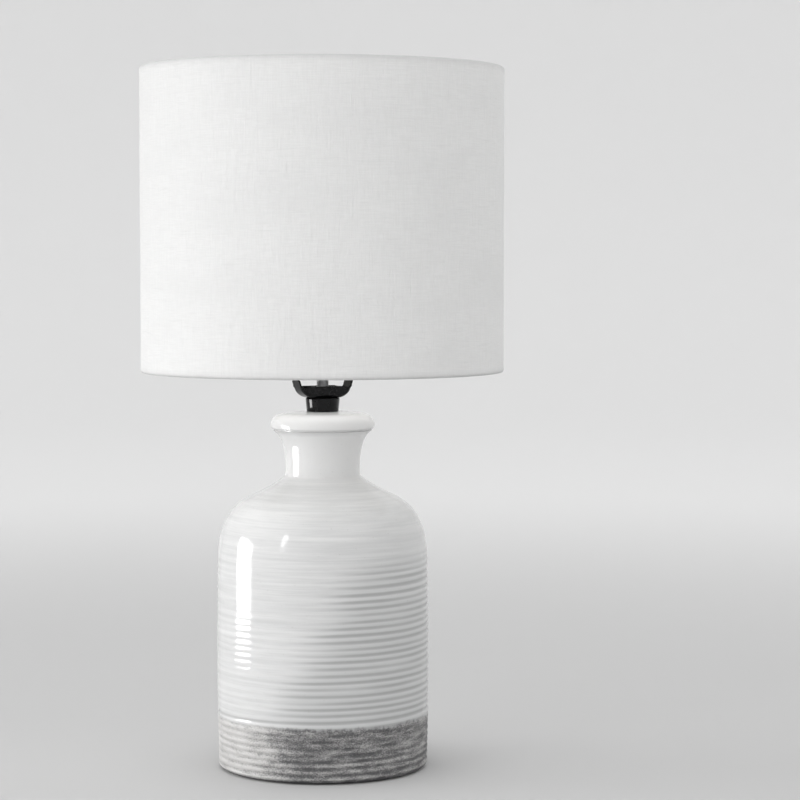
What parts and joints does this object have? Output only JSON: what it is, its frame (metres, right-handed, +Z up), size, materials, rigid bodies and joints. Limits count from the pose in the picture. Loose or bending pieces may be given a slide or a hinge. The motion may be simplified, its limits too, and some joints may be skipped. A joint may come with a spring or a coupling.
{
  "type": "table lamp",
  "caption": "Table lamp: ribbed ceramic bottle base, turn-knob socket, harp and a linen drum shade held by a finial.",
  "frame": {"origin": "middle of the underside, on the surface that the lamp stands on", "axes": "+Z up along the stem; the harp stands in the XZ plane; the switch knob points to -Y and the cord inlet to +Y"},
  "size_m": [0.305, 0.305, 0.5894],
  "materials": {
    "glazed_stoneware": "clear gloss glaze over off-white slip",
    "felt": "matte felt",
    "black_plastic": "satin",
    "zinc_steel": "zinc plated",
    "black_enamel": "gloss black enamel",
    "nickel": "polished nickel",
    "insulating_card": "matte card",
    "phenolic": "moulded phenolic",
    "brass": "satin",
    "frosted_glass": "frosted",
    "bulb_aluminium": "rolled thread",
    "black_glass": "gloss",
    "solder": "dull",
    "filament_wire": "drawn wire",
    "linen": "woven linen",
    "styrene": "matte sheet",
    "white_enamel": "white enamel wire"
  },
  "bodies": {
    "base": {"base_body": "glazed_stoneware", "base_pad": "felt", "inlet_grommet": "black_plastic", "bottom_washer": "zinc_steel", "bottom_nut": "zinc_steel", "lamp_pipe": "zinc_steel", "neck_collar": "black_enamel", "harp_saddle": "black_enamel", "lock_washer": "zinc_steel", "saddle_locknut": "zinc_steel", "socket_cap": "nickel", "cap_set_screw": "zinc_steel", "socket_shell": "nickel", "shell_sleeve": "insulating_card", "socket_body": "phenolic", "screw_shell": "brass", "center_contact": "brass", "terminal_screw_brass": "brass", "terminal_screw_silver": "zinc_steel"},
    "switch": {"switch_shaft": "brass", "switch_knob": "black_plastic"},
    "bulb": {"bulb_globe": "frosted_glass", "bulb_cap": "bulb_aluminium", "bulb_insulator": "black_glass", "bulb_contact": "solder", "bulb_stem": "frosted_glass", "bulb_filament": "filament_wire"},
    "harp": {"harp_wire": "black_enamel"},
    "left_ferrule": {"ferrule_left": "black_enamel"},
    "right_ferrule": {"ferrule_right": "black_enamel"},
    "swivel": {"harp_swivel": "brass"},
    "shade": {"shade_fabric": "linen", "shade_liner": "styrene", "top_ring": "white_enamel", "bottom_ring": "white_enamel", "spider_arms": "white_enamel", "spider_hub": "white_enamel"},
    "finial": {"finial_knob": "black_enamel", "finial_insert": "brass"}
  },
  "joints": [
    {"name": "switch_turn", "type": "hinge", "parent": "base", "child": "switch", "pos_m": [0, -0.02, 0.358], "axis": [0, -1, 0], "continuous": true},
    {"name": "bulb_unscrew", "type": "slide", "parent": "base", "child": "bulb", "axis": [0, 0, 1], "range_m": [0, 0.03]},
    {"name": "harp_lift", "type": "slide", "parent": "base", "child": "harp", "axis": [0, 0, 1], "range_m": [0, 0.03]},
    {"name": "ferrule_left_slide", "type": "slide", "parent": "harp", "child": "left_ferrule", "axis": [0, 0, 1], "range_m": [0, 0.014]},
    {"name": "ferrule_right_slide", "type": "slide", "parent": "harp", "child": "right_ferrule", "axis": [0, 0, 1], "range_m": [0, 0.014]},
    {"name": "shade_turn", "type": "hinge", "parent": "harp", "child": "swivel", "pos_m": [0, 0, 0.562], "axis": [0, 0, 1], "continuous": true},
    {"name": "shade_lift", "type": "slide", "parent": "swivel", "child": "shade", "axis": [0, 0, 1], "range_m": [0, 0.3]},
    {"name": "finial_unscrew", "type": "slide", "parent": "shade", "child": "finial", "axis": [0, 0, 1], "range_m": [0, 0.03]}
  ]
}
